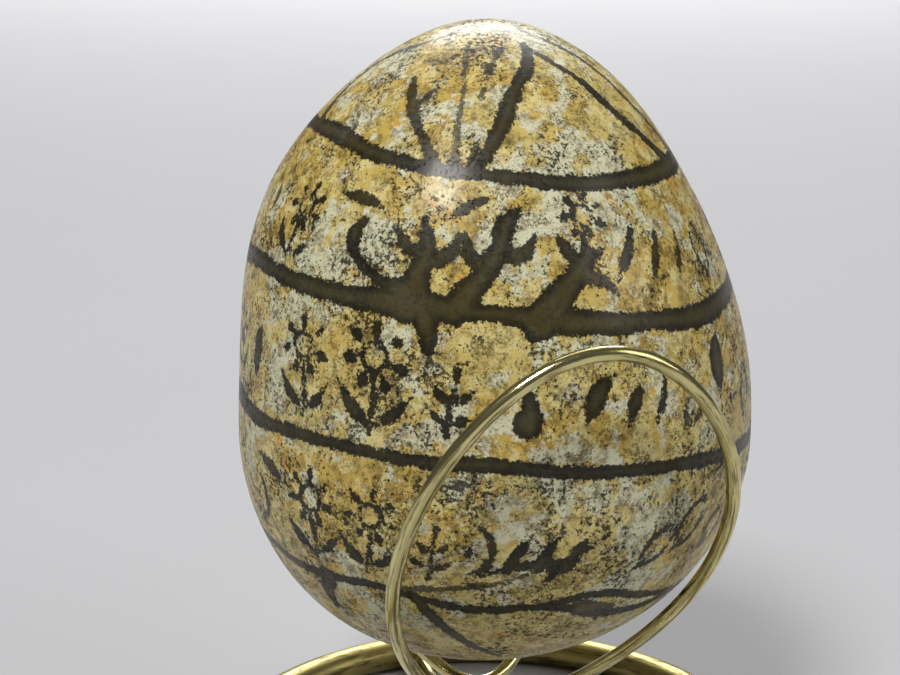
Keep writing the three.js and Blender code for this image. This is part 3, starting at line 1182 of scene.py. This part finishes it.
    @staticmethod
    def _draw_foot(ink: InkDrawing) -> None:
        """Draws the leaf lens in the lowest band and the strokes that hang from the band."""
        ink.line([(14, 28.3, 0.4), (25, 28.9, 0.42), (40, 27.2, 0.4), (55, 25.9, 0.3)])
        ink.line([(22, 27.4, 0.9), (27, 27.0, 0.6), (31, 26.8, 0.3)], 0.85)
        ink.line([(-40, 29.0, 0.8), (-42, 27.2, 0.6), (-43, 25.0, 0.35)])
        ink.line([(-17, 28.9, 0.5), (-12, 26.0, 0.5), (-4, 23.0, 0.4), (7, 20.4, 0.25)], 0.95)
        ink.line([(-19, 29.6, 0.3), (-7, 30.3, 0.24), (4, 31.2, 0.2), (10, 32.4, 0.18)], 0.75)
        for azimuth in (100, 150, 205, 255):
            ink.line([(azimuth, 27.6, 0.7), (azimuth - 3, 25.4, 0.5), (azimuth - 5, 23.0, 0.25)])
            ray = [(22, 27.4, 0.45), (28, 24.4, 0.4), (38, 20.8, 0.2)]
            ink.line([(azimuth + turn, height, weight) for turn, height, weight in ray], 0.9)


# ---- The wire stand --------------------------------------------------------------------------


class Side(Enum):
    """Which side of the stand a loop is on, as extra turns of the whole plan."""

    FRONT = 0.0
    BACK = 180.0


@dataclass
class WireStand:
    """The ring, the bridge, the two loops and the beads of braze that join them."""

    wire_radius: float = 0.65
    ring_wire_radius: float = 1.75
    ring_radius: float = 27.5
    stand_turn: float = 18.2
    loop_half_width: float = 13.5
    loop_half_length: float = 24.85
    loop_top_heavy: float = 0.146
    loop_squareness: float = 0.087
    loop_skew: float = 0.72
    loop_lean: float = 30.7
    loop_bow: float = 5.3
    loop_middle_radius: float = 20.8
    loop_middle_height: float = 30.8
    bridge_flat_end: float = 19.5
    bridge_crown: float = 5.0
    contact_gap: float = 0.3
    loop_knots: int = 32
    span_steps: int = 7
    seam_azimuth: float = 128.0

    @property
    def foot(self) -> tuple[float, float]:
        """The reach and the height of a loop's lowest point."""
        lean = math.radians(self.loop_lean)
        reach = self.loop_middle_radius - math.sin(lean) * self.loop_half_length - self.loop_bow
        return reach, self.loop_middle_height - math.cos(lean) * self.loop_half_length

    @property
    def crown_height(self) -> float:
        """The height of the bridge's centre line under the loops."""
        return self.foot[1] - 2 * self.wire_radius - self.contact_gap

    @property
    def bridge_reach(self) -> float:
        """The reach of the bridge's ends, just inside the ring."""
        return self.ring_radius - self.ring_wire_radius - self.contact_gap

    def plan(self, side: Side) -> Matrix:
        """Returns the turn of a side's plan about the axis."""
        return Matrix.Rotation(math.radians(self.stand_turn + side.value), 3, "Z")

    def build(self, effects: SharedEffects) -> list[bpy.types.Object]:
        """Models and dresses the whole stand.

        Args:
            effects: The shared node groups.

        Returns:
            The finished pieces, riding on the stand's body.
        """
        brass = PolishedBrass().build(effects)
        rod = PolishedBrass("rubbed_brass", 0.38, 0.5, srgb(160, 147, 92)).build(effects)
        braze = BrazedBead().build(effects)
        made = [(self._ring(), "base_ring", rod), (self._bridge(), "base_bridge", brass)]
        for side in Side:
            label = side.name.lower()
            made.append((self._loop(side), f"{label}_loop", brass))
            made.append((self._hub_bead(side), f"{label}_hub_weld", braze))
            made.append((self._ring_bead(side), f"{label}_ring_weld", braze))
        for piece, node, finish in made:
            smooth(piece, 60)
            piece.data.materials.append(finish)
            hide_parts(node)
            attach(piece, "stand")
        return [piece for piece, _node, _finish in made]

    def _bend_wire(self, name: str, places: list[Vector], closed: bool) -> bpy.types.Object:
        """Bends a wire through places.

        Args:
            name: The object's name.
            places: The places along the centre line, in millimetres.
            closed: Whether the wire's ends meet.

        Returns:
            The wire as a mesh.
        """
        bpy.ops.object.select_all(action="DESELECT")
        if closed:
            bpy.ops.curve.primitive_bezier_circle_add()
        else:
            bpy.ops.curve.primitive_bezier_curve_add()
        wire = bpy.context.object
        wire.name = name
        cuts = len(places) // len(wire.data.splines[0].bezier_points) - 1 if closed else len(places) - 2
        with edit_mode(wire):
            bpy.ops.curve.select_all(action="SELECT")
            bpy.ops.curve.subdivide(number_cuts=cuts)
        for knot, place in zip(wire.data.splines[0].bezier_points, places, strict=True):
            knot.co = place * MM
            knot.handle_left_type = "AUTO"
            knot.handle_right_type = "AUTO"
        wire.data.dimensions = "3D"
        wire.data.resolution_u = self.span_steps
        wire.data.bevel_depth = self.wire_radius * WORN_THIN * MM
        wire.data.bevel_resolution = 7
        wire.data.use_fill_caps = not closed
        take_up(wire)
        bpy.ops.object.convert(target="MESH")
        settle(wire)
        self._guide_wire(wire.data, places, closed)
        with edit_mode(wire):
            bpy.ops.mesh.select_all(action="SELECT")
            bpy.ops.mesh.remove_doubles(threshold=0.001 * MM)
        return wire

    def _guide_wire(self, mesh: bpy.types.Mesh, places: list[Vector], closed: bool) -> None:
        """Writes where each vertex is round and along a bent wire.

        Args:
            mesh: The wire's mesh, whose vertices run round the wire, and then on along it.
            places: The places along the centre line, in millimetres.
            closed: Whether the wire's ends meet.
        """
        rings = self.span_steps * len(places) if closed else self.span_steps * (len(places) - 1) + 1
        sides = len(mesh.vertices) // rings
        index = np.arange(len(mesh.vertices))
        gap = (places[1] - places[0]).length / self.span_steps
        along = np.abs(index // sides - rings // 2) * gap
        guide_streaks(mesh, 2 * math.pi * (index % sides) / sides, along)

    def _loop(self, side: Side) -> bpy.types.Object:
        """Bends the pear-shaped loop of one side, which leans out as it rises."""
        lean = math.radians(self.loop_lean)
        turn = self.plan(side)
        places = []
        for step in range(self.loop_knots):
            angle = 2 * math.pi * step / self.loop_knots
            rise = math.sin(angle)
            along = self.loop_half_length * rise
            fullness = 1 + self.loop_top_heavy * rise + self.loop_squareness * math.cos(2 * angle)
            half_width = self.loop_half_width * fullness - self.loop_skew * math.cos(angle)
            outwards = self.loop_middle_radius + math.sin(lean) * along - self.loop_bow * rise**2
            height = self.loop_middle_height + math.cos(lean) * along
            places.append(turn @ Vector((math.cos(angle) * half_width, -outwards, height)))
        return self._bend_wire(f"wire_loop_{side.name.lower()}", places, closed=True)

    def _bridge(self) -> bpy.types.Object:
        """Bends the bridge, low at the ring and arched to a flat crown."""
        rise = self.crown_height - self.ring_wire_radius
        span = self.bridge_flat_end - self.bridge_crown
        climb = [
            (self.bridge_reach + 0.2, 0.0),
            (self.bridge_flat_end, 0.0),
            (self.bridge_flat_end - 0.35 * span, 0.25 * rise),
            (self.bridge_crown + 0.25 * span, 0.8 * rise),
            (self.bridge_crown, rise),
        ]
        line = [*climb, *((-reach, height) for reach, height in reversed(climb))]
        turn = self.plan(Side.FRONT)
        places = [turn @ Vector((0, -reach, self.ring_wire_radius + height)) for reach, height in line]
        return self._bend_wire("wire_bridge", places, closed=False)

    def _ring(self) -> bpy.types.Object:
        """Turns the ring, with a shallow groove where the rod's two ends meet."""
        bpy.ops.object.select_all(action="DESELECT")
        bpy.ops.mesh.primitive_torus_add(
            major_radius=self.ring_radius * MM,
            minor_radius=self.ring_wire_radius * MM,
            major_segments=240,
            minor_segments=32,
            location=(0, 0, self.ring_wire_radius * MM),
        )
        ring = bpy.context.object
        ring.name = "base_ring_rod"
        settle(ring)
        points = read_points(ring.data) / MM
        reach = np.hypot(points[:, 0], points[:, 1])
        azimuth = np.degrees(np.arctan2(points[:, 0], -points[:, 1]))
        seam = np.radians(np.abs(azimuth - self.seam_azimuth)) * self.ring_radius
        pinch = 1 - 0.09 * (1 - ramp(seam, 0.1, 0.75))
        inner = (reach - self.ring_radius) * pinch + self.ring_radius
        points[:, :2] *= (inner / reach)[:, None]
        points[:, 2] = self.ring_wire_radius + (points[:, 2] - self.ring_wire_radius) * pinch
        write_points(ring.data, points * MM)
        around = np.arctan2(points[:, 2] - self.ring_wire_radius, reach - self.ring_radius)
        guide_streaks(ring.data, around, np.radians(np.abs(azimuth)) * self.ring_radius)
        return ring

    def _bead(self, name: str, place: Vector, size: Vector, turn: float) -> bpy.types.Object:
        """Models one lumpy bead of braze.

        Args:
            name: The object's name.
            place: Its middle, in millimetres.
            size: Its half sizes along its own axes, in millimetres.
            turn: Its turn about the upright, in degrees.

        Returns:
            The bead.
        """
        bpy.ops.object.select_all(action="DESELECT")
        bpy.ops.mesh.primitive_ico_sphere_add(subdivisions=5, radius=MM, location=place * MM)
        bead = bpy.context.object
        bead.name = name
        bead.scale = size
        bead.rotation_euler = (0, 0, math.radians(turn))
        settle(bead)
        texture = bpy.data.textures.new(f"{name}_lumps", "CLOUDS")
        texture.noise_scale = 1.1 * MM
        texture.noise_depth = 2
        lumps = bead.modifiers.new("lumps", "DISPLACE")
        lumps.texture = texture
        lumps.texture_coords = "LOCAL"
        lumps.mid_level = 0.75
        lumps.strength = 0.45 * MM
        apply_modifiers(bead)
        return bead

    def _hub_bead(self, side: Side) -> bpy.types.Object:
        """Models the bead between a loop's foot and the crown."""
        reach, height = self.foot
        place = self.plan(side) @ Vector((0, -reach, (height + self.crown_height) / 2))
        turn = self.stand_turn + side.value
        return self._bead(f"hub_bead_{side.name.lower()}", place, Vector((1.35, 1.6, 1.45)), turn)

    def _ring_bead(self, side: Side) -> bpy.types.Object:
        """Models the bead that joins an end of the bridge to the ring."""
        place = self.plan(side) @ Vector((0, -self.bridge_reach + 0.1, self.ring_wire_radius))
        turn = self.stand_turn + side.value
        return self._bead(f"ring_bead_{side.name.lower()}", place, Vector((1.5, 1.25, 1.3)), turn)


# ---- The studio ------------------------------------------------------------------------------


@dataclass(frozen=True)
class SoftBox:
    """A square, soft light."""

    name: str
    place: tuple[float, float, float]
    size: float
    power: float
    aim: tuple[float, float, float] = (0.0, 0.0, 0.04)

    def hang(self) -> bpy.types.Object:
        """Hangs the light, facing what it lights, and returns it."""
        bpy.ops.object.light_add(type="AREA", location=self.place)
        light = bpy.context.object
        light.name = self.name
        light.data.shape = "SQUARE"
        light.data.size = self.size
        light.data.energy = self.power
        light.rotation_euler = (Vector(self.aim) - light.location).to_track_quat("-Z", "Y").to_euler()
        return light


@dataclass
class Studio:
    """The camera, the paper floor and the soft lights."""

    focus_height: float = 39.2
    distance: float = 171.4
    elevation: float = 17.5
    lens: float = 72.0
    pan: float = 1.4
    lift: float = 2.23
    boxes: tuple[SoftBox, ...] = (
        SoftBox("key_box", (-0.2, -0.39, 0.67), 0.2, 5.0),
        SoftBox("fill_box", (0.7, -0.25, 0.45), 0.4, 1.7),
        SoftBox("back_box", (0.1, 0.9, 1.2), 1.0, 4.0),
        SoftBox("sweep_box", (0.0, 1.4, 1.0), 0.9, 27.0, (0.0, 1.1, 0.0)),
    )

    def set_up(self) -> None:
        """Sets up the camera, the floor, the lights and the dim room."""
        self._camera()
        self._floor()
        for box in self.boxes:
            box.hang()
        world = bpy.data.worlds.new("room")
        world.use_nodes = True
        background = world.node_tree.nodes["Background"]
        background.inputs["Color"].default_value = (0.98, 0.98, 1.0, 1.0)
        background.inputs["Strength"].default_value = 0.11
        bpy.context.scene.world = world
        bpy.context.scene.view_settings.view_transform = "Standard"

    def _camera(self) -> None:
        """Places the camera a little above the egg, looking down at it."""
        elevation = math.radians(self.elevation)
        back = self.distance * math.cos(elevation)
        height = self.focus_height + self.distance * math.sin(elevation)
        place = Vector((0, -back, height)) * MM
        pitch = math.radians(90 - self.elevation + self.lift)
        bpy.ops.object.camera_add(location=place, rotation=(pitch, 0, math.radians(self.pan)))
        camera = bpy.context.object
        camera.data.lens = self.lens
        camera.data.sensor_width = 36.0
        camera.data.clip_start = 0.01
        camera.data.clip_end = 20.0
        bpy.context.scene.camera = camera

    def _floor(self) -> None:
        """Lays the paper floor."""
        bpy.ops.object.select_all(action="DESELECT")
        bpy.ops.mesh.primitive_plane_add(size=8)
        floor = bpy.context.object
        floor.name = "paper_floor"
        floor.data.materials.append(PaperFloor().build())


def main() -> None:
    """Builds the studio, the egg and the stand, and reports each piece."""
    logging.basicConfig(level=logging.INFO, format="%(name)s: %(message)s")
    Studio().set_up()
    effects = SharedEffects()
    pieces = [PaintedEgg().build(effects), *WireStand().build(effects)]
    for piece in pieces:
        piece.data.calc_loop_triangles()
        LOG.info("%s: %d triangles", piece.name, len(piece.data.loop_triangles))


if __name__ == "__main__":
    main()
